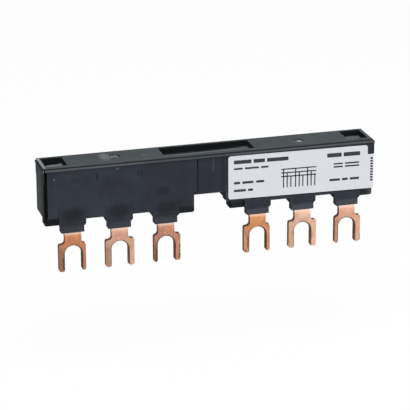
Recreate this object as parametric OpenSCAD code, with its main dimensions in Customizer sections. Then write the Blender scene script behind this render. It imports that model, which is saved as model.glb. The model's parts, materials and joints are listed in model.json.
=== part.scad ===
// Three-pole comb busbar with two tap-offs, for feeding a row of motor circuit breakers.
// X runs along the bar, Y runs from the front face to the back, Z is up, and the forks point down.
// The origin is the middle of the overall box.

/* [Tap-offs] */
// Distance between the two groups of three forks
tap_pitch = 54; // [54:9:72]
// Distance between the forks of one group
pole_pitch = 13.45; // [13.2:0.05:13.6]

/* [Housing] */
// Distance from the middle fork of a group to the outer end of its block
block_out = 21.25; // [20.9:0.05:22]
// Distance from the middle fork of the left group to the inner end of its block
block_in_left = 22; // [21.6:0.1:22.2]
// Distance from the middle fork of the right group to the inner end of its block
block_in_right = 22.1; // [22:0.1:22.4]
// Depth of the housing behind the front face
depth = 10.8; // [10.6:0.1:12]
// Height from the foot of the blocks to the top
block_h = 15.4; // [15.2:0.1:17]
// Thickness of the clipped front panel
panel_t = 1.0; // [0.9:0.05:1.1]
// Height of the body's underside above the foot of the panel
body_rise = 0.4; // [0.3:0.05:0.6]
// Height of the bridge's lower edge above the foot of the panel
bridge_z = 3.1; // [3:0.1:3.4]
// Rounding of the bridge's lower front edge
bridge_round = 1.3; // [0.8:0.1:1.6]

/* [Rim] */
// How far the end skirts stand out beyond the body
skirt_t = 0.1; // [0.05:0.05:0.2]
// Height of the end skirts
skirt_h = 3.8; // [3:0.1:5]
// How far the ridges along the top of the skirts stand out beyond the body
ridge_t = 0.25; // [0.25:0.05:0.4]
// Height of those ridges
ridge_h = 0.6; // [0.4:0.05:0.8]
// Height of the bead along the top of the front panel
bead_h = 0.42; // [0.35:0.01:0.6]
// How far the bead stands out of the front face
bead_out = 0.3; // [0.2:0.05:0.4]
// Rounding of the bead's upper edge
bead_round = 0.3; // [0.2:0.05:0.3]
// Distance from the left end of the body to the start of the bead
bead_start = 0.4; // [0.3:0.05:0.6]
// Step from the bead up to the top plate
top_step = 0.4; // [0.3:0.05:0.5]
// Distance of the top plate's front edge behind the front face
top_back = 0.35; // [0.25:0.05:0.5]
// Distance of the top plate's ends inside the ends of the body
top_in = 0.1; // [0.05:0.05:0.2]

/* [Recesses in the top] */
// Depth of the recesses below the top plate
recess_h = 1.9; // [1.2:0.1:1.9]
// Distance of the recesses behind the front face
recess_front = 2.2; // [2:0.1:3]
// Thickness of the wall behind the recesses
recess_wall = 0.9; // [0.7:0.1:1.2]
// Distance from the middle recess to the line of the next fork
recess_gap = 0.3; // [0.1:0.1:2]
// Length of the recess at each end
end_recess_l = 6.1; // [5:0.1:7]
// Thickness of the wall at the end of each end recess
recess_end = 1.1; // [0.9:0.1:1.5]

/* [Moulding gates in the top] */
// Radius of the round dimple at each gate
gate_r = 1.6; // [1:0.1:2]
// Depth of the dimples
gate_depth = 0.35; // [0.2:0.05:0.5]
// Radius of the broken stub in each dimple
stub_r = 0.45; // [0.3:0.05:0.6]
// Height of the stubs
stub_h = 0.2; // [0.1:0.05:0.2]
// Distance of the gates from the middle of their block
gate_x = 0.4; // [0:0.1:2]
// Distance of the left gate behind the front face
gate_y_left = 6.4; // [5:0.1:7]
// Distance of the right gate behind the front face
gate_y_right = 5.2; // [5:0.1:7]

/* [Front panel] */
// Width of bare body left of the panel
corner_band = 0.8; // [0.6:0.05:1]
// How far the panel overhangs the inner end of the left block
ear_w = 0.65; // [0.5:0.05:0.9]
// Height at which that overhang starts
ear_z = 4.7; // [4.5:0.1:5.2]
// How far the panel overhangs the inner end of the right block
over_w = 0.5; // [0.3:0.05:0.6]
// Width of bare body beside the lower right corner of the left block's panel
inner_band = 0.5; // [0.4:0.05:0.6]
// Setback of the panel over the bridge
bridge_back = 0.1; // [0.05:0.05:0.2]
// Width of the fine gaps beside the bridge's part of the panel
panel_gap = 0.3; // [0.2:0.05:0.4]
// Depth of those gaps; behind them the panel runs through
gap_depth = 0.6; // [0.4:0.05:0.7]
// Height of the panel's lower edge over the lips
panel_rise = 0.9; // [0.7:0.05:0.95]

/* [Necks and lips] */
// Width of the upper part of each neck
neck_w = 7.8; // [7.6:0.1:8.2]
// How far the upper neck hangs below the blocks
neck_h = 1.45; // [1.2:0.05:1.6]
// How far the upper neck reaches back from the front face
neck_depth = 9.2; // [8.6:0.1:9.6]
// Height of the slope between the upper neck and its collar
neck_slope = 0.55; // [0.4:0.05:0.6]
// Width of the collar round each shank
collar_w = 6.6; // [6.4:0.1:7]
// Depth of the collar from front to back
collar_d = 2.6; // [2.5:0.05:2.9]
// How far the collars hang below the blocks
collar_h = 3.8; // [3.5:0.1:4.2]
// Depth of the scoop over each collar
scoop = 0.25; // [0.15:0.05:0.3]
// How far the lips at the block ends hang below the blocks
lip_h = 1.6; // [1.2:0.1:1.8]
// Thickness of the lips from front to back
lip_t = 2.9; // [2.4:0.1:3.4]
// Rounding of the lips' lower corners
lip_round = 0.6; // [0.4:0.05:0.8]
// Distance of the right block's inner lip from the end of the block
lip_inset = 0.3; // [0.2:0.1:0.6]
// Depth of the foot behind each inner lip
foot_d = 2.4; // [1.8:0.1:3]

/* [Copper] */
// Thickness of the copper strip
copper_t = 1.5; // [1.4:0.05:1.6]
// Height of each bar inside the housing
bar_h = 8.2; // [7.6:0.1:8.2]
// Length of bar beyond the middle of its outer forks
bar_end = 3.6; // [3:0.1:3.8]
// Height of the bars above the foot of the panel
bar_z = 4.1; // [4:0.05:4.2]
// Distance from one bar to the next, front to back
bar_step = 3.1; // [3:0.05:3.15]
// Distance of the shanks behind the front face inside the collars
shank_y = 0.65; // [0.5:0.05:0.7]
// Width of the shank between collar and fork
shank_w = 4.8; // [4.4:0.1:5]
// Distance from the collar to the shoulders of the fork
shank_l = 3.35; // [3:0.05:4]
// Width across the two prongs of a full fork
fork_w = 8.3; // [8.1:0.1:8.8]
// Amount trimmed off the prong that faces the middle pole
prong_trim = 0.55; // [0.3:0.05:0.55]
// Width of the screw slot
slot_w = 4.8; // [4.6:0.05:4.9]
// Distance from the shoulders to the top of the slot
slot_top = 0.6; // [0.3:0.05:0.8]
// Chamfer along the front edge of the slot, which leads the screw in
slot_lead = 0.4; // [0.2:0.05:0.45]
// Distance from the shoulders to the tips of the prongs
prong_l = 8.05; // [7.6:0.05:9]
// Hollow rounding between shank and shoulder
throat_r = 1; // [0.8:0.05:1.05]
// Rounding of the outer corners of the shoulders
shoulder_r = 0.6; // [0.3:0.05:0.7]
// Rounding at the tips of the prongs
tip_r = 0.6; // [0.4:0.05:0.6]
// Height of the small joggle that brings the fork forward
joggle_h = 0.9; // [0.7:0.05:1.2]
// Inside radius of the bends in each tab
bend_r = 0.5; // [0.4:0.05:0.6]
// Height of the level part of each tab above the foot of the panel
leg_z = 1.0; // [0.8:0.05:1.1]

/* [Fits] */
// Play round the copper in its channels
play = 0.1; // [0.06:0.01:0.14]
// Play over and beside the bars and separators
stack_play = 0.15; // [0.1:0.05:0.2]
// Width of the ribs that press on the front bar
rib_w = 1.2; // [1:0.1:1.6]
// Height of those ribs
rib_h = 4; // [3:0.5:6]

/* [Hidden] */
$fn = 48;
eps = 0.02;

// Ends of the body and the blocks
mid_x = tap_pitch / 2;
body_x = mid_x + block_out;
left_in = -(mid_x - block_in_left);
right_in = mid_x - block_in_right;
ear_x = left_in + ear_w;
over_x = right_in - over_w;

// Heights
bead_top = block_h - top_step;
bead_z = bead_top - bead_h;
cavity_top = bar_z + bar_h + stack_play;
slope_z = -neck_h - neck_slope;
web_z = bar_z - play;
shoulder_z = -collar_h - shank_l;
tip_z = shoulder_z - prong_l;
slot_z = shoulder_z - slot_top - slot_w / 2;

// The stack behind the panel: bar, separator, bar, separator, bar, back wall
rib_t = bar_step - copper_t - panel_t;
bar_y = [for (i = [0:2]) panel_t + rib_t + i * bar_step];
sep_t = bar_step - copper_t;
stack_y = bar_y[2] + copper_t;
stack_x = mid_x + pole_pitch + bar_end + stack_play;
lip_y = panel_t + lip_t;

// Half widths
neck_x = neck_w / 2;
collar_x = collar_w / 2;
shank_x = shank_w / 2;

// Positions of the six forks, group by group
pole_x = [for (g = [-1, 1]) for (p = [-1:1]) g * mid_x + p * pole_pitch];

// Centre of the overall box
mid_y = (depth - bead_out) / 2;
mid_z = (block_h + tip_z) / 2;

module place()
  translate([0, -mid_y, -mid_z]) children();

module box(x0, x1, y0, y1, z0, z1)
  translate([x0, y0, z0]) cube([x1 - x0, y1 - y0, z1 - z0]);

// Round bar along Y
module rod(x, z, r, y0, y1)
  translate([x, y0, z]) rotate([-90, 0, 0]) cylinder(r = r, h = y1 - y0);

// Corner piece of a square outside its quarter circle: takes a corner off, or fills a hollow one
module spandrel(x, z, sx, sz, r, y0, y1, over = 0) {
  difference() {
    box(min(x - sx * over, x + sx * r), max(x - sx * over, x + sx * r), y0, y1,
        min(z - sz * over, z + sz * r), max(z - sz * over, z + sz * r));
    rod(x + sx * r, z + sz * r, r, y0 - eps, y1 + eps);
  }
}

// A flat outline in Y and Z, drawn out along X over width w centred on x
module along_x(x, w, points)
  translate([x - w / 2, 0, 0]) rotate([90, 0, 90]) linear_extrude(w) polygon(points);

// What is cut off to round a front edge that runs along X; up is 1 for a lower edge, -1 for an upper one
module front_rounding(x0, x1, y, z, up, r) {
  low = up > 0 ? z - eps : z - r;
  difference() {
    box(x0, x1, y - eps, y + r, low, low + r + eps);
    translate([x0 - eps, y + r, z + up * r]) rotate([0, 90, 0]) cylinder(r = r, h = x1 - x0 + 2 * eps);
  }
}

// Quarter of a bent strip with its axis along X; sy and sz point from the axis to the metal
module bend(x, y, z, sy, sz) {
  outer = bend_r + copper_t;
  intersection() {
    translate([x - shank_x, y, z]) rotate([0, 90, 0]) difference() {
      cylinder(r = outer, h = shank_w);
      translate([0, 0, -eps]) cylinder(r = bend_r, h = shank_w + 2 * eps);
    }
    box(x - shank_w, x + shank_w, min(y, y + sy * 2 * outer), max(y, y + sy * 2 * outer),
        min(z, z + sz * 2 * outer), max(z, z + sz * 2 * outer));
  }
}

// Flat outline of the front of a neck: wide above, sloping in to the collar
module neck_front(x, y0, y1) {
  top = body_rise + panel_rise;
  translate([x, y1, 0]) rotate([90, 0, 0]) linear_extrude(y1 - y0)
    polygon([[-neck_x, top], [-neck_x, -neck_h], [-collar_x, slope_z], [-collar_x, -collar_h],
             [collar_x, -collar_h], [collar_x, slope_z], [neck_x, -neck_h], [neck_x, top]]);
}

// Channel for one tab, open at the front so that the bent tab slides in
module tab_channel(x, pole) {
  wide = shank_x + play;
  box(x - wide, x + wide, shank_y - play, shank_y + copper_t + play,
      -collar_h - eps, leg_z + copper_t + play);
  box(x - wide, x + wide, shank_y - play, bar_y[pole] + copper_t + play,
      leg_z - play, bar_z + eps);
  box(x - wide, x + wide, shank_y + copper_t, shank_y + copper_t + bend_r,
      leg_z - bend_r, leg_z);
}

// Slotted fork for a terminal screw, its prongs trimmed by the given amounts
module fork(x, trim_left, trim_right) {
  left = x - fork_w / 2 + trim_left;
  right = x + fork_w / 2 - trim_right;
  slot_x = slot_w / 2;
  difference() {
    box(left, right, 0, copper_t, tip_z, shoulder_z);
    rod(x, slot_z, slot_x, -eps, copper_t + eps);
    box(x - slot_x, x + slot_x, -eps, copper_t + eps, tip_z - eps, slot_z);
    spandrel(left, shoulder_z, 1, -1, shoulder_r, -eps, copper_t + eps, eps);
    spandrel(right, shoulder_z, -1, -1, shoulder_r, -eps, copper_t + eps, eps);
    spandrel(left, tip_z, 1, 1, tip_r, -eps, copper_t + eps, eps);
    spandrel(right, tip_z, -1, 1, tip_r, -eps, copper_t + eps, eps);
    spandrel(x - slot_x, tip_z, -1, 1, tip_r, -eps, copper_t + eps, eps);
    spandrel(x + slot_x, tip_z, 1, 1, tip_r, -eps, copper_t + eps, eps);
    translate([x, -eps, slot_z]) rotate([-90, 0, 0])
      cylinder(r1 = slot_x + slot_lead + eps, r2 = slot_x, h = slot_lead + eps);
    translate([x, 0, tip_z - eps]) linear_extrude(slot_z - tip_z + eps)
      polygon([[-slot_x - slot_lead - eps, -eps], [-slot_x, slot_lead],
               [slot_x, slot_lead], [slot_x + slot_lead + eps, -eps]]);
  }
  spandrel(x - shank_x, shoulder_z, -1, 1, throat_r, 0, copper_t);
  spandrel(x + shank_x, shoulder_z, 1, 1, throat_r, 0, copper_t);
}

// Tab from a bar's lower edge to its fork: back bars run level to the front before they turn down
module tab(x, pole) {
  y = bar_y[pole];
  back = copper_t;
  low = -collar_h;
  turn = leg_z - bend_r;
  reach = y - shank_y;
  joggle_z = low - joggle_h;
  box(x - shank_x, x + shank_x, shank_y, shank_y + back, low, turn);
  along_x(x, shank_w, [[shank_y, low], [shank_y + back, low], [back, joggle_z], [0, joggle_z]]);
  box(x - shank_x, x + shank_x, 0, back, shoulder_z, joggle_z);
  if (reach > 2 * bend_r + back) {
    level_y = shank_y + back + bend_r;
    bend(x, level_y, turn, -1, 1);
    box(x - shank_x, x + shank_x, level_y, y - bend_r, leg_z, leg_z + back);
    bend(x, y - bend_r, leg_z + back + bend_r, 1, -1);
    box(x - shank_x, x + shank_x, y, y + back, leg_z + back + bend_r, bar_z);
  } else {
    along_x(x, shank_w, [[shank_y, turn], [shank_y + back, turn], [y + back, bar_z - reach / 2],
                         [y + back, bar_z], [y, bar_z], [y, bar_z - reach / 2]]);
  }
}

// One copper stamping: a strip with two tabs, and a fork on each
module bar(pole) {
  places = [pole_x[pole], pole_x[pole + 3]];
  box(places[0] - bar_end, places[1] + bar_end, bar_y[pole], bar_y[pole] + copper_t,
      bar_z, bar_z + bar_h);
  for (x = places) {
    tab(x, pole);
    fork(x, pole == 2 ? prong_trim : 0, pole == 0 ? prong_trim : 0);
  }
}

module separator(gap)
  box(-stack_x + stack_play, stack_x - stack_play, bar_y[gap] + copper_t, bar_y[gap + 1],
      bar_z, bar_z + bar_h);

module lip(x0, x1) {
  difference() {
    box(x0, x1, panel_t, lip_y, -lip_h, body_rise + eps);
    spandrel(x0, -lip_h, 1, 1, lip_round, panel_t - eps, lip_y + eps, eps);
    spandrel(x1, -lip_h, -1, 1, lip_round, panel_t - eps, lip_y + eps, eps);
  }
}

module recess(x0, x1)
  box(x0, x1, recess_front, depth - recess_wall, block_h - recess_h, block_h + eps);

// Dimple with a broken stub, where the plastic entered the mould
module gate(x, y)
  translate([x, y, block_h - gate_depth]) difference() {
    cylinder(r = gate_r, h = gate_depth + eps);
    translate([0, 0, -eps]) cylinder(r = stub_r, h = stub_h + eps);
  }

// Skirt and ridge at one end of the body; side is -1 at the left end and 1 at the right
module end_rim(side) {
  for (rim = [[skirt_t, skirt_h], [ridge_t, ridge_h]])
    box(min(side * body_x, side * (body_x + rim[0])), max(side * body_x, side * (body_x + rim[0])),
        -bead_out, depth, bead_top - rim[1], bead_top);
}

module rear_body() {
  recess_x = mid_x - pole_pitch - recess_gap;
  color("#1f2024") place() difference() {
    union() {
      box(-body_x, left_in, panel_t, depth, body_rise, bead_top);
      box(right_in, body_x, panel_t, depth, body_rise, bead_top);
      box(left_in - eps, right_in + eps, panel_t, depth, bridge_z, bead_top);
      box(-body_x + top_in, body_x - top_in, top_back, depth, bead_top, block_h);
      end_rim(-1);
      end_rim(1);
      for (x = pole_x) {
        neck_front(x, panel_t, collar_d);
        box(x - neck_x, x + neck_x, panel_t, neck_depth, -neck_h, body_rise + eps);
      }
      lip(-body_x, pole_x[0] - neck_x + lip_round);
      lip(pole_x[2] + neck_x - lip_round, left_in);
      lip(right_in + lip_inset, pole_x[3] - neck_x + lip_round);
      lip(pole_x[5] + neck_x - lip_round, body_x);
      box(pole_x[2], left_in, lip_y - eps, lip_y + foot_d, 0, body_rise + eps);
      box(right_in, pole_x[3], lip_y - eps, lip_y + foot_d, 0, body_rise + eps);
    }
    box(-stack_x, stack_x, panel_t - eps, stack_y, bar_z, cavity_top);
    for (i = [0:5]) tab_channel(pole_x[i], i % 3);
    recess(-recess_x, recess_x);
    recess(-body_x + recess_end, -body_x + recess_end + end_recess_l);
    recess(body_x - recess_end - end_recess_l, body_x - recess_end);
    front_rounding(left_in, right_in, panel_t, bridge_z, 1, bridge_round);
    gate(-mid_x + gate_x, gate_y_left);
    gate(mid_x + gate_x, gate_y_right);
  }
}

module front_panel() {
  low_left = pole_x[0] - neck_x;
  low_right = pole_x[5] + neck_x;
  color("#33373f") place() {
    difference() {
      union() {
        box(-body_x + corner_band, ear_x, 0, panel_t, ear_z, bead_z);
        box(-body_x + corner_band, left_in - inner_band, 0, panel_t, panel_rise, ear_z);
        box(over_x, body_x, 0, panel_t, panel_rise, bead_z);
        box(ear_x + panel_gap, over_x - panel_gap, bridge_back, panel_t, web_z, bead_z);
        box(left_in - inner_band - eps, over_x + eps, bridge_back + gap_depth, panel_t, web_z, bead_z);
        box(low_left, pole_x[2] + neck_x, 0, panel_t, 0, panel_rise);
        box(pole_x[3] - neck_x, low_right, 0, panel_t, 0, panel_rise);
        box(-body_x + bead_start, body_x, -bead_out, panel_t, bead_z, bead_top);
        for (x = pole_x) neck_front(x, 0, panel_t);
      }
      front_rounding(-body_x + bead_start - eps, body_x + eps, -bead_out, bead_top, -1, bead_round);
      for (i = [0:5]) {
        tab_channel(pole_x[i], i % 3);
        along_x(pole_x[i], collar_w, [[-eps, panel_rise], [0, panel_rise], [scoop, slope_z + scoop],
                                      [-eps, slope_z + scoop]]);
      }
    }
    for (x = pole_x)
      box(x - rib_w / 2, x + rib_w / 2, panel_t, bar_y[0], bar_z + (bar_h - rib_h) / 2,
          bar_z + (bar_h + rib_h) / 2);
  }
}

module bar_one()
  color("#c98a5e") place() bar(0);

module bar_two()
  color("#d3a68a") place() bar(1);

module bar_three()
  color("#cf9878") place() bar(2);

module front_separator()
  color("#8a8f94") place() separator(0);

module rear_separator()
  color("#8a8f94") place() separator(1);

rear_body();
front_panel();
bar_one();
bar_two();
bar_three();
front_separator();
rear_separator();
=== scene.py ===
import json
import math

import bmesh
import bpy
import numpy as np
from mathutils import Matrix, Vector


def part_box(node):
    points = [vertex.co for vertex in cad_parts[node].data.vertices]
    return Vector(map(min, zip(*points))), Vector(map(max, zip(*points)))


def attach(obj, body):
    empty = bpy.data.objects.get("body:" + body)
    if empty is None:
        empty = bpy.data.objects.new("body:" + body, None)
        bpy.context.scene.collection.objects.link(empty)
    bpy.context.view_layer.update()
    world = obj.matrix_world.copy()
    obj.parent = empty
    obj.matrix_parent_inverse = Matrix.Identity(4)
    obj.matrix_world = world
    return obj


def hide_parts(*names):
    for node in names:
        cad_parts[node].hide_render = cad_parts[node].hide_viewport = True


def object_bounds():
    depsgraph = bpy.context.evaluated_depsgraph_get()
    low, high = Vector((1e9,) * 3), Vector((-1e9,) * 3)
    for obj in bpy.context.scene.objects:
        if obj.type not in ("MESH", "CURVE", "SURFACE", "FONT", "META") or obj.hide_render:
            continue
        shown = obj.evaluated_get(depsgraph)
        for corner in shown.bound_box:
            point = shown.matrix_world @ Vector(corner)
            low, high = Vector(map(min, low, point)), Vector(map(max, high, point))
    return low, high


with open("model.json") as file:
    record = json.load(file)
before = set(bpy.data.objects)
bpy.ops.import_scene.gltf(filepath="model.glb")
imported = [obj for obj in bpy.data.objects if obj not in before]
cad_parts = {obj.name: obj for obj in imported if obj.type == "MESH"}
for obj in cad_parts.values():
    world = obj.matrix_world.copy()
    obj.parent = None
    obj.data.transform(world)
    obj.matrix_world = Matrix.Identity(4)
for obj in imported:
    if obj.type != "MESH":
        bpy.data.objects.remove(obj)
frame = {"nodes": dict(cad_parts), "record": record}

mm = 0.001
cadLow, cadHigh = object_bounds()   # the box of the bare solids
nodes = frame["nodes"]
housing = {"bead": 0.3, "height": 15.4}   # how far the bead stands out, and the top above the panel's foot
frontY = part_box("front_panel")[0].y / mm + housing["bead"]
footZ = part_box("rear_body")[1].z / mm - housing["height"]
forkPlaces = {mount["name"]: mount["pos_m"][0] / mm for mount in frame["record"]["mounts"]}
print("frame loaded")


def at(x, y, z):   # mm along the bar, behind the front face and above the panel's foot
    return (x, y + frontY, z + footZ)


def linear(hexColour):   # sRGB hex value to the linear colour that sockets take
    parts = np.array([int(hexColour[i:i + 2], 16) for i in (1, 3, 5)]) / 255
    values = np.where(parts <= 0.04045, parts / 12.92, ((parts + 0.055) / 1.055) ** 2.4)
    return (*values.tolist(), 1.0)


def addNode(tree, kind, inputs=(), **settings):
    # inputs come in order or by name, and each is a number, a hex colour or a socket to link
    node = tree.nodes.new(kind)
    for name, value in settings.items():
        setattr(node, name, value)
    named = inputs.items() if isinstance(inputs, dict) else enumerate(inputs)
    for name, value in named:
        if isinstance(value, bpy.types.NodeSocket):
            tree.links.new(value, node.inputs[name])
        else:
            node.inputs[name].default_value = linear(value) if isinstance(value, str) else value
    return node


def emptyMaterial(name):
    material = bpy.data.materials.new(name)
    material.use_nodes = True
    material.node_tree.nodes.clear()
    return material, material.node_tree


def patch(tree, place, centre, half, soft, share):
    # share within a box and 0 outside it: the largest of |p - centre| - half over the three axes,
    # turned into a step with a soft border
    away = addNode(tree, "ShaderNodeVectorMath", (place, [c * mm for c in centre]), operation="SUBTRACT")
    size = addNode(tree, "ShaderNodeVectorMath", (away.outputs[0],), operation="ABSOLUTE")
    over = addNode(tree, "ShaderNodeVectorMath", (size.outputs[0], [h * mm for h in half]),
                   operation="SUBTRACT")
    axes = addNode(tree, "ShaderNodeSeparateXYZ", (over.outputs[0],))
    flat = addNode(tree, "ShaderNodeMath", (axes.outputs[0], axes.outputs[1]), operation="MAXIMUM")
    most = addNode(tree, "ShaderNodeMath", (flat.outputs[0], axes.outputs[2]), operation="MAXIMUM")
    step = addNode(tree, "ShaderNodeMapRange", (most.outputs[0], soft * mm, -soft * mm, 0, share))
    return step.outputs[0]


def spot(tree, place, centre, radii, soft, share):
    # share within an ellipsoid and 0 outside it: the length of (p - centre) / radii, as a soft step
    away = addNode(tree, "ShaderNodeVectorMath", (place, [c * mm for c in centre]), operation="SUBTRACT")
    ratio = addNode(tree, "ShaderNodeVectorMath", (away.outputs[0], [r * mm for r in radii]),
                    operation="DIVIDE")
    reach = addNode(tree, "ShaderNodeVectorMath", (ratio.outputs[0],), operation="LENGTH")
    step = addNode(tree, "ShaderNodeMapRange", (reach.outputs["Value"], 1 + soft, 1 - soft, 0, share),
                   interpolation_type="SMOOTHSTEP")
    return step.outputs[0]


def markLayers(tree, place, marks):
    # a mark is its mask, centre, half sizes and soft border in mm, its colour and how much it covers
    return [(mask(tree, place, at(*centre), half, soft, share), colour)
            for mask, centre, half, soft, colour, share in marks]


def layered(tree, colour, layers):   # lays colours over one another, each as far as its socket covers
    for cover, over in layers:
        colour = addNode(tree, "ShaderNodeMix", {0: cover, 6: colour, 7: over}, data_type="RGBA").outputs[2]
    return colour


# Glass-filled polyamide, injection moulded: matt to satin, almost black, with a fine spark-eroded
# grain, cloudy flow marks, and edges a little paler, partly rubbed and partly a painted highlight.
# Walls that face the left end get painted shade. The real grain is nearer
# 0.05 mm, and it is drawn coarser so that it shows.
def mouldedPolyamide(name, look):
    material, tree = emptyMaterial(name)
    place = addNode(tree, "ShaderNodeTexCoord").outputs["Object"]
    grain = addNode(tree, "ShaderNodeTexNoise",
                    {"Vector": place, "Scale": 1 / (look["grainMm"] * mm), "Detail": 2.0})
    cloud = addNode(tree, "ShaderNodeTexNoise",
                    {"Vector": place, "Scale": 1 / (look["cloudMm"] * mm), "Detail": 4.0, "Roughness": 0.6})
    cloudy = addNode(tree, "ShaderNodeMapRange", (cloud.outputs[0], *look["cloudSpan"]))
    # rubbed edges with a painted highlight on them: where the rounded normal leaves the true one
    rounded = addNode(tree, "ShaderNodeBevel", {"Radius": look["edgeMm"] * mm}, samples=4)
    true = addNode(tree, "ShaderNodeNewGeometry").outputs["Normal"]
    along = addNode(tree, "ShaderNodeVectorMath", (rounded.outputs[0], true), operation="DOT_PRODUCT")
    rubAndHighlight = addNode(tree, "ShaderNodeMapRange",
                  (along.outputs["Value"], *look["edgeSpan"], 0, look["rubAndHighlightShare"]))
    # painted shade: walls that face the left end are made the darkest
    facing = addNode(tree, "ShaderNodeSeparateXYZ", (true,))
    leftward = addNode(tree, "ShaderNodeMapRange",
                       (facing.outputs[0], *look["leftSpan"], 0, look["leftShare"]))
    colour = layered(tree, look["dark"], [
        (cloudy.outputs[0], look["light"]),
        (rubAndHighlight.outputs[0], look["rubAndHighlightTone"]),
        (leftward.outputs[0], look["leftShade"]),
        *markLayers(tree, place, look["marks"]),
    ])
    rough = addNode(tree, "ShaderNodeMapRange", (grain.outputs[0], *look["grainSpan"], *look["roughness"]))
    bump = addNode(tree, "ShaderNodeBump", {"Height": grain.outputs[0], "Strength": look["bump"],
                                            "Distance": look["bumpMm"] * mm})
    shader = addNode(tree, "ShaderNodeBsdfPrincipled", {
        "Base Color": colour, "Roughness": rough.outputs[0], "Normal": bump.outputs[0],
        "Specular IOR Level": look["shine"],
    })
    addNode(tree, "ShaderNodeOutputMaterial", (shader.outputs[0],))
    return material


mouldLook = {   # what the body and the panel share
    "edgeMm": 0.25, "edgeSpan": (0.995, 0.86), "leftSpan": (-0.5, -0.95), "leftShade": "#08090a",
    "grainMm": 0.3, "grainSpan": (0.3, 0.7), "cloudSpan": (0.35, 0.65), "roughness": (0.62, 0.75),
    "bump": 0.25, "bumpMm": 0.02, "shine": 0.06, "steps": 2, "sharp": 32, "shortMm": 0.12,
}
bodyLook = {
    **mouldLook, "dark": "#3b4042", "light": "#454a4c", "rubAndHighlightTone": "#6a6e71", "rubAndHighlightShare": 0.35,
    "cloudMm": 9, "leftShare": 0.12, "roundMm": 0.05,
}
bodyLook["marks"] = [
    # the recesses: painted shade darkens their walls, less on two right walls, and painted light makes their
    # floors pale; painted shadow lies along the rear left of two floors, with a painted pool of light on the
    # left floor
    (patch, (0, 6.05, 13.5), (47.6, 4.1, 0.1), 0.05, "#666a6c", 0.75),
    (spot, (-46.3, 9.4, 13.5), (1.6, 0.95, 0.3), 0.12, "#0c0d0e", 0.9),
    (spot, (-44.9, 9.7, 13.5), (3.2, 0.9, 0.3), 0.12, "#0c0d0e", 0.9),
    (spot, (-43.0, 8.1, 13.5), (3.2, 1.2, 0.3), 0.25, "#7f8385", 0.7),
    (spot, (-13.1, 9.6, 13.5), (26, 1.0, 0.3), 0.12, "#0c0d0e", 0.9),
    (patch, (0, 6.05, 14.5), (47.55, 4.0, 0.82), 0.06, "#0a0c0d", 0.88),
    *[(patch, (x, 6.05, 14.4), (0.2, 4.0, 0.85), 0.06, "#2a2d2f", 0.7) for x in (-41.3, 13.25)],
    # the rims at both ends are painted paler, and painted shade makes the ridges outside them black
    (patch, (-47.78, 5.8, 15.4), (0.34, 4.6, 0.12), 0.07, "#95989b", 0.85),
    *[(spot, (-47.78, y, 15.4), (0.3, 0.4, 0.2), 0.5, "#45484b", 0.7) for y in (2.9, 5.0, 7.6)],
    (patch, (47.75, 5.8, 15.4), (0.25, 4.4, 0.12), 0.08, "#6a6e71", 0.5),
    *[(patch, (x, 5.5, 14.8), (0.2, 5.7, 0.42), 0.06, "#040506", 0.96) for x in (-48.42, 48.42)],
    # the top's rear edge darkened, and a pale speck at its front left corner
    (patch, (0, 10.75, 15.35), (48.2, 0.12, 0.14), 0.06, "#17191a", 0.7),
    (spot, (-48.2, -0.1, 14.9), (0.35, 0.4, 0.3), 0.4, "#8d9193", 0.9),
    # painted shade in the groove over the bead, on the bare corner beside the panel, and on the left end
    # face
    (patch, (0, 0.1, 15.2), (48.5, 0.4, 0.2), 0.06, "#141617", 0.7),
    (patch, (-48.0, 0.6, 7.0), (0.62, 0.8, 7.4), 0.08, "#030404", 0.93),
    (spot, (-48.3, 1.2, 6.6), (0.6, 3.0, 8.4), 0.3, "#0a0b0c", 0.75),
    (patch, (-48.3, 5.5, 7.0), (0.14, 5.6, 7.4), 0.04, "#26292a", 0.15),
    (patch, (-48.3, 5.5, 11.6), (0.14, 5.6, 2.6), 0.6, "#1d1f20", 0.5),
    # painted shade on the lips, the right block's inner end, and the rear halves of the necks
    (patch, (-46.8, 2, -0.75), (1.9, 3, 1.1), 0.15, "#0e1011", 0.85),
    (patch, (0, 2, -0.9), (47, 3, 0.9), 0.2, "#1c1f21", 0.65),
    (patch, (5.0, 5, 1.2), (0.8, 6, 3.4), 0.1, "#0c0d0e", 0.85),
    (patch, (0, 1.9, -1.7), (44.6, 0.95, 2.3), 0.12, "#0c0e0f", 0.6),
    # the left gate: a smear beside it, a floor made pale by painted light, dark crumbs and two bright ones
    (spot, (-29.4, 6.6, 15.4), (1.5, 2.8, 0.6), 0.5, "#7d7f81", 0.45),
    (spot, (-26.6, 6.4, 15.2), (1.7, 1.7, 0.3), 0.2, "#74787b", 0.6),
    *[(spot, (x, y, 15.25), (0.35, 0.3, 0.4), 0.4, "#141617", 0.75)
      for x, y in ((-27.9, 6.0), (-27.0, 5.1), (-25.9, 5.3), (-25.3, 6.6))],
    (spot, (-27.3, 6.9, 15.2), (0.4, 0.4, 0.4), 0.4, "#9b9ea0", 0.7),
    (spot, (-26.3, 6.9, 15.3), (0.4, 0.5, 0.5), 0.4, "#b0b2b4", 0.85),
    # the right gate: painted light on its floor, its bright stub, and a nick
    (spot, (27.4, 5.1, 15.2), (1.7, 1.7, 0.25), 0.2, "#7b7f82", 0.75),
    (spot, (27.4, 5.1, 15.3), (0.5, 0.55, 0.5), 0.25, "#a9acae", 0.9),
    (spot, (-18.5, 4.8, 15.4), (0.6, 0.25, 0.2), 0.5, "#7d8183", 0.6),
]

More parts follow.
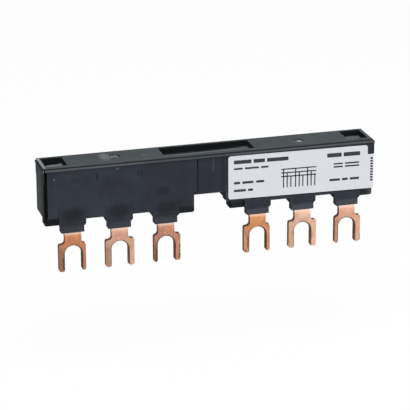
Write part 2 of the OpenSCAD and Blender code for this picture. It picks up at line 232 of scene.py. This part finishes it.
panelLook = {
    **mouldLook, "dark": "#2a2e34", "light": "#32363d", "rubAndHighlightTone": "#565a60", "rubAndHighlightShare": 0.3,
    "cloudMm": 7, "leftShare": 0.75, "roundMm": 0.08,
}
panelLook["marks"] = [
    # painted highlight on the bead, then painted shade in a soft hollow over each collar of the left block,
    # and on the necks' faint sides
    (patch, (0, -0.1, 14.85), (48.2, 0.5, 0.3), 0.08, "#565a5d", 0.6),
    *[(spot, (x, 0, z), (3.1, 1.2, 1.9), 0.5, "#16181c", 0.55)
      for x, z in ((-40.35, 1.5), (-27.1, 1.4), (-13.5, 0.9))],
    *[(patch, (x + side * 3.95, 0, 1.6), (0.14, 0.3, 1.9), 0.14, "#1c1f24", 0.45)
      for x in (-40.45, -27, -13.55) for side in (-1, 1)],
    # painted light makes the collars of both blocks a little paler
    *[(patch, (x, 0, -3.0), (20, 1, 0.85), 0.1, "#55555c", share) for x, share in ((-27, 0.2), (27, 0.4))],
    # a broad painted shade, painted shade on the panel's left wall, dark ticks and blobs from moulding
    (patch, (-6, 0, 9.5), (13, 0.4, 6), 3, "#25282e", 0.5),
    (patch, (-47.45, 0.5, 7.0), (0.1, 0.7, 7.4), 0.05, "#050607", 0.9),
    (patch, (-33.2, 0, 12.0), (0.2, 0.4, 1.0), 0.15, "#121417", 0.8),
    *[(patch, (x, 0, 12.0), (0.2, 0.4, 0.95), 0.15, "#15171a", 0.6) for x in (-21.3, -20.4)],
    (spot, (-14.4, 0, 6.1), (1.6, 0.6, 1.1), 0.6, "#1b1e22", 0.45),
    (spot, (-39.6, 0, 11.4), (1.2, 0.6, 0.7), 0.7, "#1b1e22", 0.35),
    # over the bridge: a faint rib and square, a dark band, and painted light inside the groove beside the
    # sticker
    (patch, (0.41, 0.1, 12.2), (0.12, 0.4, 2.2), 0.12, "#5a606a", 0.4),
    (patch, (-0.3, 0.1, 6.4), (0.9, 0.4, 0.9), 0.3, "#1f2227", 0.4),
    (patch, (3.4, 0.1, 9.0), (0.7, 0.6, 6), 0.4, "#1b1e22", 0.35),
    (patch, (4.25, 0.5, 9.0), (0.2, 0.4, 7.5), 0.05, "#666b73", 0.75),
    # two bright nicks
    (spot, (-45.4, 0, 12.2), (0.26, 0.4, 0.16), 0.4, "#7b8088", 0.65),
    (spot, (-27.4, 0, 13.8), (0.4, 0.4, 0.25), 0.5, "#646a72", 0.6),
]


# Electrolytic copper strip, rolled and bare: a soft metal sheen with fine rolling streaks and patches
# of tarnish; the sheared edges are brown with oxide and rougher, with lines through the thickness.
# Rolling streaks and shear lines are some 0.03 mm apart, and are drawn coarser so that they show.
def rolledCopper(name, look, poles):
    material, tree = emptyMaterial(name)
    coords = addNode(tree, "ShaderNodeTexCoord")
    place = coords.outputs["Object"]
    axes = addNode(tree, "ShaderNodeSeparateXYZ", (place,))
    # from the left fork to the right one, and from the necks down to the prongs
    side = addNode(tree, "ShaderNodeMapRange", (axes.outputs[0], -look["sideMm"] * mm, look["sideMm"] * mm))
    down = addNode(tree, "ShaderNodeMapRange",
                   (axes.outputs[2], *[(footZ + z) * mm for z in look["neckSpan"]]))
    neck, prong = [addNode(tree, "ShaderNodeMix", {0: side.outputs[0], 6: left, 7: right}, data_type="RGBA")
                   for left, right in (look["neck"], look["prong"])]
    # painted shade on the prong that faces away from the light: how far a point lies left of its fork's
    # middle
    middle = addNode(tree, "ShaderNodeMapRange", (axes.outputs[0], -look["middleMm"] * mm,
                                                  look["middleMm"] * mm, *[x * mm for x in poles]))
    local = addNode(tree, "ShaderNodeMath", (axes.outputs[0], middle.outputs[0]), operation="SUBTRACT")
    turned = addNode(tree, "ShaderNodeMapRange", (local.outputs[0], *[x * mm for x in look["shadeSpan"]]))
    away = addNode(tree, "ShaderNodeMath", (turned.outputs[0], down.outputs[0]), operation="MULTIPLY")
    depth = addNode(tree, "ShaderNodeMapRange", (side.outputs[0], 0, 1, *look["shadeShare"]))
    shaded = addNode(tree, "ShaderNodeMath", (away.outputs[0], depth.outputs[0]), operation="MULTIPLY")
    # rolling streaks and tarnish
    rolled = addNode(tree, "ShaderNodeMapping",
                     {"Vector": place, "Scale": [1 / (s * mm) for s in look["streakMm"]]})
    streak = addNode(tree, "ShaderNodeTexNoise",
                     {"Vector": rolled.outputs[0], "Scale": 1.0, "Detail": 3.0})
    cloud = addNode(tree, "ShaderNodeTexNoise",
                    {"Vector": place, "Scale": 1 / (look["tarnishMm"] * mm), "Detail": 3.0})
    tarnish = addNode(tree, "ShaderNodeMapRange",
                      (cloud.outputs[0], *look["tarnishSpan"], 0, look["tarnishShare"]))
    dull = addNode(tree, "ShaderNodeMapRange",
                   (streak.outputs[0], *look["streakSpan"], 0, look["streakShare"]))
    bright = addNode(tree, "ShaderNodeMapRange",
                     (streak.outputs[0], *look["brightSpan"], 0, look["brightShare"]))
    # sheared edges, the chamfers of the slots among them, are where the flat faces turn away
    facing = addNode(tree, "ShaderNodeSeparateXYZ", (coords.outputs["Normal"],))
    flat = addNode(tree, "ShaderNodeMath", (facing.outputs[1],), operation="ABSOLUTE")
    sheared = addNode(tree, "ShaderNodeMapRange", (flat.outputs[0], *look["shearSpan"]))
    cut = addNode(tree, "ShaderNodeMapping",
                  {"Vector": place, "Scale": [1 / (s * mm) for s in look["shearMm"]]})
    score = addNode(tree, "ShaderNodeTexNoise", {"Vector": cut.outputs[0], "Scale": 1.0, "Detail": 2.0})
    scored = addNode(tree, "ShaderNodeMapRange",
                     (score.outputs[0], *look["scoreSpan"], *look["scoreShare"]))
    edge = addNode(tree, "ShaderNodeMath", (sheared.outputs[0], scored.outputs[0]), operation="MULTIPLY")
    colour = layered(tree, neck.outputs[2], [
        (down.outputs[0], prong.outputs[2]),
        (shaded.outputs[0], look["shade"]),
        (tarnish.outputs[0], look["shade"]),
        (dull.outputs[0], look["shade"]),
        (bright.outputs[0], look["bright"]),
        *markLayers(tree, place, copperMarks(look, poles)),
        (edge.outputs[0], look["edge"]),
    ])
    metallic = addNode(tree, "ShaderNodeMapRange", (sheared.outputs[0], 0, 1, *look["metallic"]))
    rough = addNode(tree, "ShaderNodeMapRange", (sheared.outputs[0], 0, 1, *look["roughness"]))
    height = addNode(tree, "ShaderNodeMath", (streak.outputs[0], score.outputs[0]), operation="ADD")
    bump = addNode(tree, "ShaderNodeBump", {"Height": height.outputs[0], "Strength": look["bump"],
                                            "Distance": look["bumpMm"] * mm})
    shader = addNode(tree, "ShaderNodeBsdfPrincipled", {
        "Base Color": colour, "Metallic": metallic.outputs[0], "Roughness": rough.outputs[0],
        "Normal": bump.outputs[0], "Specular IOR Level": look["edgeShine"],
    })
    addNode(tree, "ShaderNodeOutputMaterial", (shader.outputs[0],))
    return material


def copperMarks(look, poles):
    # a painted highlight, a pale line where the strip steps forward under each collar, then scratches: place
    # along the bar, height, half width, half height and how much each covers
    return [
        *[(patch, (x, 0.3, -4.2), (2.6, 0.6, 0.28), 0.2, look["stepHighlight"], 0.55) for x in poles],
        *[(patch, (x, 0, z), (wide, 0.3, tall), 0.09, look["scratch"], share)
          for x, z, wide, tall, share in look["scratches"]],
    ]


# In copperLook, neckSpan is in mm above the panel's foot and shadeSpan in mm from the fork's middle.
# shadeShare is for the left fork and the right one, metallic and roughness for the faces and the edges.
copperLook = {
    "sideMm": 3, "middleMm": 0.5, "neckSpan": (-7.0, -10.0),
    "shadeSpan": (0.5, -3.2), "shadeShare": (0.5, 0.12),
    "streakMm": (0.25, 0.25, 1.6), "streakSpan": (0.45, 0.75), "streakShare": 0.3,
    "brightSpan": (0.55, 0.3), "brightShare": 0.2,
    "tarnishMm": 2.6, "tarnishSpan": (0.42, 0.7), "tarnishShare": 0.3,
    "shearMm": (0.5, 3.0, 0.12), "shearSpan": (0.95, 0.68),
    "scoreSpan": (0.3, 0.7), "scoreShare": (0.82, 1.0),
    "metallic": (1.0, 0.12), "roughness": (0.38, 0.7), "edgeShine": 0.15, "bump": 0.3, "bumpMm": 0.01,
    "stepHighlight": "#f6dccb", "scratch": "#351a0c",
    "roundMm": 0.05, "steps": 2, "sharp": 40, "shortMm": 0.12,
}
barLooks = {   # pairs of tones are the left fork's and the right one's
    "bar_one": {
        "neck": ("#cd8860", "#d2905f"), "prong": ("#bd8a6e", "#d99f78"), "shade": "#764a2f",
        "bright": "#e3b595", "edge": "#3f2314",
        "scratches": [
            (-43.4, -12.7, 0.15, 1.6, 0.85), (-36.9, -12.0, 0.12, 1.8, 0.45), (10.6, -12.0, 0.15, 1.65, 0.9),
            (16.95, -12.5, 0.13, 2.7, 0.5), (9.9, -14.6, 0.18, 0.3, 0.6),
        ],
    },
    "bar_two": {
        "neck": ("#d7a78e", "#deb49e"), "prong": ("#dcb298", "#efbfa4"), "shade": "#8f5f3f",
        "bright": "#f0cdb9", "edge": "#4c2c1b", "shadeShare": (0.5, 0.28),
        "scratches": [
            (30.0, -11.9, 0.12, 0.8, 0.5), (-30.6, -12.0, 0.1, 2.6, 0.4), (23.9, -10.6, 0.12, 0.5, 0.5),
        ],
    },
    "bar_three": {
        "neck": ("#c28b71", "#dfa98f"), "prong": ("#c79478", "#e8b292"), "shade": "#6c3c20",
        "bright": "#ecc3ad", "edge": "#44281b", "shadeShare": (0.7, 0.38),
        "scratches": [
            (-9.65, -11.0, 0.15, 0.5, 0.8), (-9.6, -12.3, 0.13, 0.4, 0.7), (-9.7, -13.8, 0.15, 0.7, 0.85),
            (-16.55, -13.15, 0.15, 1.95, 0.8), (44.55, -13.9, 0.13, 0.8, 0.9), (45.1, -13.9, 0.12, 0.7, 0.7),
            (44.85, -13.1, 0.35, 0.12, 0.8), (44.85, -14.75, 0.35, 0.12, 0.8), (36.7, -13.8, 0.1, 1.2, 0.4),
        ],
    },
}


def roundedCopy(nodeName, pieceName, look, material):
    # the solid's own shape with its loose triangles merged, and small roundings on its edges
    merged = bmesh.new()
    merged.from_mesh(nodes[nodeName].data)
    bmesh.ops.remove_doubles(merged, verts=merged.verts, dist=0.0005 * mm)
    merged.verts.index_update()
    corners = [vert.co[:] for vert in merged.verts]
    faces = [[vert.index for vert in face.verts] for face in merged.faces]
    merged.free()
    mesh = bpy.data.meshes.new(pieceName)
    mesh.from_pydata(corners, [], faces)
    mesh.polygons.foreach_set("use_smooth", [True] * len(mesh.polygons))
    mesh.set_sharp_from_angle(angle=math.radians(look["sharp"]))
    mesh.materials.append(material)
    # an edge that meets a very short one stays crisp, because its rounding would fold over there
    shape = bmesh.new()
    shape.from_mesh(mesh)
    weight = shape.edges.layers.float.new("bevel_weight_edge")
    sharp = {edge for edge in shape.edges if edge.calc_face_angle(0) > math.radians(look["sharp"])}
    for edge in sharp:
        near = [other.calc_length() for vert in edge.verts for other in vert.link_edges if other in sharp]
        edge[weight] = float(min(near) > look["shortMm"] * mm)
    shape.to_mesh(mesh)
    shape.free()
    piece = bpy.data.objects.new(pieceName, mesh)
    bpy.context.scene.collection.objects.link(piece)
    bevel = piece.modifiers.new("roundings", "BEVEL")
    bevel.limit_method = "WEIGHT"
    bevel.width = look["roundMm"] * mm
    bevel.segments = look["steps"]
    bevel.use_clamp_overlap = False
    weighted = piece.modifiers.new("flat faces", "WEIGHTED_NORMAL")
    weighted.keep_sharp = True
    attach(piece, "root")
    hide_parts(nodeName)
    return piece


rearShell = roundedCopy("rear_body", "rearShell", bodyLook,
                        mouldedPolyamide("black polyamide moulding", bodyLook))
frontShell = roundedCopy("front_panel", "frontShell", panelLook,
                         mouldedPolyamide("black polyamide panel", panelLook))
bars = (("bar_one", "barOne", "copper_amber"), ("bar_two", "barTwo", "copper_pale"),
        ("bar_three", "barThree", "copper_rose"))
for pole, (nodeName, pieceName, slotName) in enumerate(bars, 1):
    barLook = {**copperLook, **barLooks[nodeName]}
    poles = [forkPlaces[f"fork_{end}_{pole}"] for end in ("left", "right")]
    copper = rolledCopper("rolled " + slotName.replace("_", " "), barLook, poles)
    strip = roundedCopy(nodeName, pieceName, barLook, copper)
print("housing and copper dressed")


# A flat sheet whose two tones run into each other on a fine uneven grain.
def grainySheet(name, look):
    material, tree = emptyMaterial(name)
    place = addNode(tree, "ShaderNodeTexCoord").outputs["Object"]
    grain = addNode(tree, "ShaderNodeTexNoise",
                    {"Vector": place, "Scale": 1 / (look["grainMm"] * mm), "Detail": look["detail"]})
    colour = addNode(tree, "ShaderNodeMix", {0: grain.outputs[0], 6: look["dark"], 7: look["light"]},
                     data_type="RGBA")
    bump = addNode(tree, "ShaderNodeBump", {"Height": grain.outputs[0], "Strength": look["bump"],
                                            "Distance": look["bumpMm"] * mm})
    shader = addNode(tree, "ShaderNodeBsdfPrincipled", {
        "Base Color": colour.outputs[2], "Roughness": look["roughness"], "Normal": bump.outputs[0],
        "Specular IOR Level": look["shine"],
    })
    addNode(tree, "ShaderNodeOutputMaterial", (shader.outputs[0],))
    return material


# Vulcanised fibre sheet, cut flat: matt, pale grey, with a felted grain. Its fibres are some 0.05 mm
# thick, and the felt is drawn coarser so that it shows.
separatorLook = {
    "dark": "#7b8084", "light": "#999da1", "grainMm": 0.4, "detail": 4.0, "bump": 0.3, "bumpMm": 0.02,
    "roughness": 0.8, "shine": 0.5,
}
fibreSheet = grainySheet("grey fibre sheet", separatorLook)
for nodeName in ("front_separator", "rear_separator"):
    nodes[nodeName].data.materials.clear()
    nodes[nodeName].data.materials.append(fibreSheet)
print("separators dressed")

# The sticker sits a little askew. Distances are from the middle of the bar and heights above the foot of
# the panel; a pair of heights is for the left end and the right end of its front. Its material is
# polypropylene film with a satin varnish: cool pale grey, nearly smooth, faintly uneven on the grain.
sticker = {
    "left": 4.75, "right": 48.25, "tail": 7.0,
    "foot": (1.45, 0.8), "head": (14.3, 13.85), "tailHead": 11.05,
    "notch": 46.45, "corner": 0.75, "notchRound": 0.7, "notchRise": 0.6, "notchGap": 0.004,
    "thickMm": 0.12, "liftMm": 0.005, "bendMm": 0.16, "sharp": 40,
    "stations": {"corner": 9, "front": 60, "notch": 4, "bend": 7, "end": 8}, "rows": 13,
    "dark": "#c8cbd0", "light": "#d0d3d8", "grainMm": 1.2, "detail": 2.0, "bump": 0.12, "bumpMm": 0.02,
    "roughness": 0.5, "shine": 0.25,
}


def stickerGrid(look):
    # Along the sheet, s runs from its left end over the front, round the corner and down the end face.
    # Its height limits are the foot plus a corner's fall, and the head less a corner's fall, where
    # fall(d) = r - sqrt(r2 - (r - d)2) for a distance d from the end below the radius r.
    bend = look["bendMm"]
    front = look["right"] - bend - look["left"]
    arc = bend * math.pi / 2
    r = look["corner"]
    small = r * look["notchRound"]
    ends = front + arc + look["tail"]
    notch = look["notch"] - look["left"]
    count = look["stations"]
    near = r * (1 - np.cos(np.linspace(0, math.pi / 2, count["corner"])))
    s = np.concatenate([
        near,
        np.linspace(r, notch - r, count["front"])[1:],
        notch - near[::-1][1:],
        notch + near * look["notchRound"] + look["notchGap"],
        np.linspace(notch + small, front, count["notch"])[1:],
        front + arc * np.linspace(0, 1, count["bend"])[1:],
        np.linspace(front + arc, ends - r, count["end"])[1:],
        ends - near[::-1][1:],
    ])

    def fall(d, radius):
        d = np.clip(d, 0, radius)
        return radius - np.sqrt(np.maximum(radius ** 2 - (radius - d) ** 2, 0))

    share = np.minimum(s, front) / front
    low = np.interp(share, (0, 1), look["foot"]) + fall(s, r) + fall(ends - s, r)
    main = np.interp(share, (0, 1), look["head"]) - fall(s, r) - fall(notch - s, r)
    tail = look["tailHead"] + fall(s - notch, small) * look["notchRise"] - fall(ends - s, r)
    high = np.where(s <= notch, main, tail)
    z = low + (high - low) * np.linspace(0, 1, look["rows"])[:, None]
    # centre line of the sheet's back, and its outward direction
    turn = np.clip((s - front) / arc, 0, 1) * math.pi / 2
    x = look["left"] + np.minimum(s, front) + bend * np.sin(turn)
    y = bend * (1 - np.cos(turn)) + np.maximum(s - front - arc, 0)
    outX, outY = np.sin(turn), -np.cos(turn)
    lifts = (look["liftMm"], look["liftMm"] + look["thickMm"])
    layers = [np.stack(np.broadcast_arrays(x + outX * lift, y + outY * lift, z), axis=-1) for lift in lifts]
    return np.stack(layers)   # back and front layer, rows by height, columns along the sheet


def newPiece(name, points, faces, look, material):   # points in mm, as at() takes them
    mesh = bpy.data.meshes.new(name)
    mesh.from_pydata(((points + np.array([0, frontY, footZ])) * mm).tolist(), [], faces)
    mesh.polygons.foreach_set("use_smooth", [True] * len(mesh.polygons))
    mesh.set_sharp_from_angle(angle=math.radians(look["sharp"]))
    mesh.materials.append(material)
    piece = bpy.data.objects.new(name, mesh)
    bpy.context.scene.collection.objects.link(piece)
    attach(piece, "root")


def sheetPiece(name, look, material):
    # a closed sheet from two grids of points: both faces, and a rim that joins their borders
    layers = stickerGrid(look)
    rows, columns = layers.shape[1:3]
    index = np.arange(rows * columns).reshape(rows, columns)
    quads = np.stack([index[:-1, :-1], index[:-1, 1:], index[1:, 1:], index[1:, :-1]], axis=-1)
    quads = quads.reshape(-1, 4)
    ring = np.concatenate([index[0, :], index[1:, -1], index[-1, -2::-1], index[-2:0:-1, 0]])
    after = np.roll(ring, -1)
    rim = np.stack([ring, after, after + rows * columns, ring + rows * columns], axis=-1)
    faces = np.concatenate([quads[:, ::-1], quads + rows * columns, rim])
    newPiece(name, layers.reshape(-1, 3), faces.tolist(), look, material)


# Plain print: bars that stand for lines of words, a drawing of three bars with their drops, and a
# column of short bars at the right end. Places are in mm from the sticker's lower left corner.
printLook = {
    "inkMm": 0.02, "sinkMm": 0.01, "round": 0.22, "roundShare": 0.9, "steps": 5, "sharp": 40,
    "ink": "#33353b", "roughness": 0.6, "shine": 0.2,
    "rows": [   # foot and height of a row, then the left edge and the width of each of its bars
        (10.4, 1.1, [(1.6, 5.2), (7.4, 3.4), (11.4, 6.4)]),
        (8.7, 0.55, [(1.6, 2.6), (4.8, 4.2), (9.6, 2.2)]),
        (4.4, 0.7, [(1.6, 1.9), (4.1, 3.3), (8.2, 2.4)]),
        (2.1, 0.7, [(1.6, 3.6), (5.8, 1.5)]),
        (10.2, 1.2, [(29.4, 4.4), (34.4, 5.0)]),
        (7.9, 0.45, [(31.4, 2.8), (34.8, 4.4)]),
        (7.0, 0.45, [(31.4, 2.8), (34.8, 4.4)]),
        (3.0, 0.7, [(30.2, 3.2), (34.0, 1.8), (36.4, 2.8)]),
    ],
    "drawing": {"left": 15.6, "wide": 10.6, "head": 7.6, "foot": 2.2, "line": 0.34, "lineStep": 1.1,
                "firstDrop": 16.2, "groupStep": 3.6, "overlap": 0.2},
    "column": {"left": 42.55, "foot": 2.2, "step": 0.82, "wide": 0.85, "tall": 0.52, "bars": 9},
}


def printBars(look):   # left, foot, width and height of each bar
    bars = [(left, foot, wide, tall) for foot, tall, row in look["rows"] for left, wide in row]
    # the drawing: three level lines, each with three drops that start at its own line
    draw = look["drawing"]
    for row in range(3):
        level = draw["head"] - row * draw["lineStep"]
        bars.append((draw["left"], level, draw["wide"], draw["line"]))
        bars += [(draw["firstDrop"] + row * draw["lineStep"] + group * draw["groupStep"], draw["foot"],
                  draw["line"], level - draw["foot"] + draw["overlap"]) for group in range(3)]
    column = look["column"]
    bars += [(column["left"], column["foot"] + column["step"] * k, column["wide"], column["tall"])
             for k in range(column["bars"])]
    return np.array(bars)


# Thermal transfer ink: a matt charcoal film with crisp edges.
def transferInk(look):
    material, tree = emptyMaterial("charcoal transfer ink")
    shader = addNode(tree, "ShaderNodeBsdfPrincipled", {
        "Base Color": look["ink"], "Roughness": look["roughness"], "Specular IOR Level": look["shine"],
    })
    addNode(tree, "ShaderNodeOutputMaterial", (shader.outputs[0],))
    return material


def printPiece(look, ground):
    # Each bar is a rounded rectangle: corner centres plus r (cos a, sin a), a quarter turn to a corner.
    bars = printBars(look)
    steps = look["steps"]
    turn = (np.arange(4)[:, None] + np.linspace(0, 1, steps)) * math.pi / 2
    signs = np.array([(1, 1), (-1, 1), (-1, -1), (1, -1)])[:, None, :]
    half = bars[:, 2:] / 2
    r = np.minimum(look["round"], half.min(axis=1) * look["roundShare"])
    centres = (bars[:, :2] + half)[:, None, None, :] + signs * (half - r[:, None])[:, None, None, :]
    arcs = r[:, None, None, None] * np.stack([np.cos(turn), np.sin(turn)], axis=-1)
    outline = (centres + arcs).reshape(len(bars), -1, 2)
    # the print leans with the sheet's lower edge, whose height falls evenly along it
    fallPerMm = (ground["foot"][0] - ground["foot"][1]) / (ground["right"] - ground["left"])
    x = outline[..., 0] + ground["left"]
    z = outline[..., 1] + ground["foot"][0] - fallPerMm * outline[..., 0]
    top = -(ground["liftMm"] + ground["thickMm"])
    layers = [np.stack([x, np.full_like(x, y), z], axis=-1)
              for y in (top + look["sinkMm"], top - look["inkMm"])]
    points = np.stack(layers, axis=1).reshape(-1, 3)
    count = 4 * steps
    ring = np.arange(count)
    starts = np.arange(len(bars)) * 2 * count
    back = (starts[:, None] + ring[::-1]).tolist()
    front = (starts[:, None] + count + ring).tolist()
    rim = np.stack([ring, np.roll(ring, -1), np.roll(ring, -1) + count, ring + count], axis=-1)
    sides = (starts[:, None, None] + rim).reshape(-1, 4).tolist()
    newPiece("stickerPrint", points, front + back + sides, look, transferInk(look))


sheetPiece("sticker", sticker, grainySheet("pale polypropylene film", sticker))
printPiece(printLook, sticker)
print("sticker made and printed")


def seenBackground(tree):   # 1 for what the camera, glossy and transmission rays see
    rays = addNode(tree, "ShaderNodeLightPath").outputs
    seen = addNode(tree, "ShaderNodeMath", (rays["Is Camera Ray"], rays["Is Glossy Ray"]),
                   operation="MAXIMUM")
    return addNode(tree, "ShaderNodeMath", (seen.outputs[0], rays["Is Transmission Ray"]),
                   operation="MAXIMUM").outputs[0]


# Matt paper: plain and nearly white, with soft shadows, and almost the background's white where seen.
def paleFloor(look):
    material, tree = emptyMaterial("pale paper floor")
    share = addNode(tree, "ShaderNodeMath", (seenBackground(tree), look["glow"]), operation="MULTIPLY")
    paper = addNode(tree, "ShaderNodeBsdfDiffuse", (look["paper"],))
    white = addNode(tree, "ShaderNodeEmission", (look["white"], 1.0))
    both = addNode(tree, "ShaderNodeMixShader", (share.outputs[0], paper.outputs[0], white.outputs[0]))
    addNode(tree, "ShaderNodeOutputMaterial", (both.outputs[0],))
    return material


floorLook = {"size": 6.0, "drop": 0.0305, "glow": 0.93, "paper": "#f4f4f4", "white": "#ffffff"}
half = floorLook["size"] / 2
floorZ = cadLow.z - floorLook["drop"]
floorMesh = bpy.data.meshes.new("floor")
floorCorners = [(-half, -half, floorZ), (half, -half, floorZ), (half, half, floorZ), (-half, half, floorZ)]
floorMesh.from_pydata(floorCorners, [], [(0, 1, 2, 3)])
floorMesh.materials.append(paleFloor(floorLook))
floorPiece = bpy.data.objects.new("floor", floorMesh)
bpy.context.scene.collection.objects.link(floorPiece)

worldLook = {"colour": "#ffffff", "light": 0.5, "seen": 1.0}
world = bpy.data.worlds.new("studio")
bpy.context.scene.world = world
world.use_nodes = True
worldTree = world.node_tree
worldTree.nodes.clear()
worldLevel = addNode(worldTree, "ShaderNodeMapRange",
                     (seenBackground(worldTree), 0, 1, worldLook["light"], worldLook["seen"]))
worldBack = addNode(worldTree, "ShaderNodeBackground", (worldLook["colour"], worldLevel.outputs[0]))
addNode(worldTree, "ShaderNodeOutputWorld", (worldBack.outputs[0],))

lamps = {   # metres and watts
    "keyLamp": {"place": (0.0, -0.30, 0.68), "size": 0.5, "watts": 4.2},
    "fillLamp": {"place": (0.45, -0.6, 0.2), "size": 0.6, "watts": 1.0},
}
for lampName, lampLook in lamps.items():
    lampData = bpy.data.lights.new(lampName, "AREA")
    lampData.shape = "DISK"
    lampData.size = lampLook["size"]
    lampData.energy = lampLook["watts"]
    lamp = bpy.data.objects.new(lampName, lampData)
    bpy.context.scene.collection.objects.link(lamp)
    lamp.location = lampLook["place"]
    lamp.rotation_euler = (-Vector(lampLook["place"])).to_track_quat("-Z", "Y").to_euler()

# a long lens from the left of the front, a little above
cameraLook = {
    "place": (-0.1590, -0.5538, 0.2030), "target": (0, -0.00025, 0.00008), "rollDegrees": -0.19,
    "lens": 188, "sensor": 36, "shift": (-0.0057, -0.0128), "near": 0.01,
}
cameraData = bpy.data.cameras.new("camera")
cameraData.lens = cameraLook["lens"]
cameraData.sensor_width = cameraLook["sensor"]
cameraData.shift_x, cameraData.shift_y = cameraLook["shift"]
cameraData.clip_start = cameraLook["near"]
camera = bpy.data.objects.new("camera", cameraData)
bpy.context.scene.collection.objects.link(camera)
camera.location = cameraLook["place"]
aim = (Vector(cameraLook["target"]) - camera.location).to_track_quat("-Z", "Y")
camera.rotation_euler = aim.to_euler()
camera.rotation_euler.rotate_axis("Z", math.radians(cameraLook["rollDegrees"]))
bpy.context.scene.camera = camera
bpy.context.scene.view_settings.view_transform = "Standard"
print("stage, light and camera set")
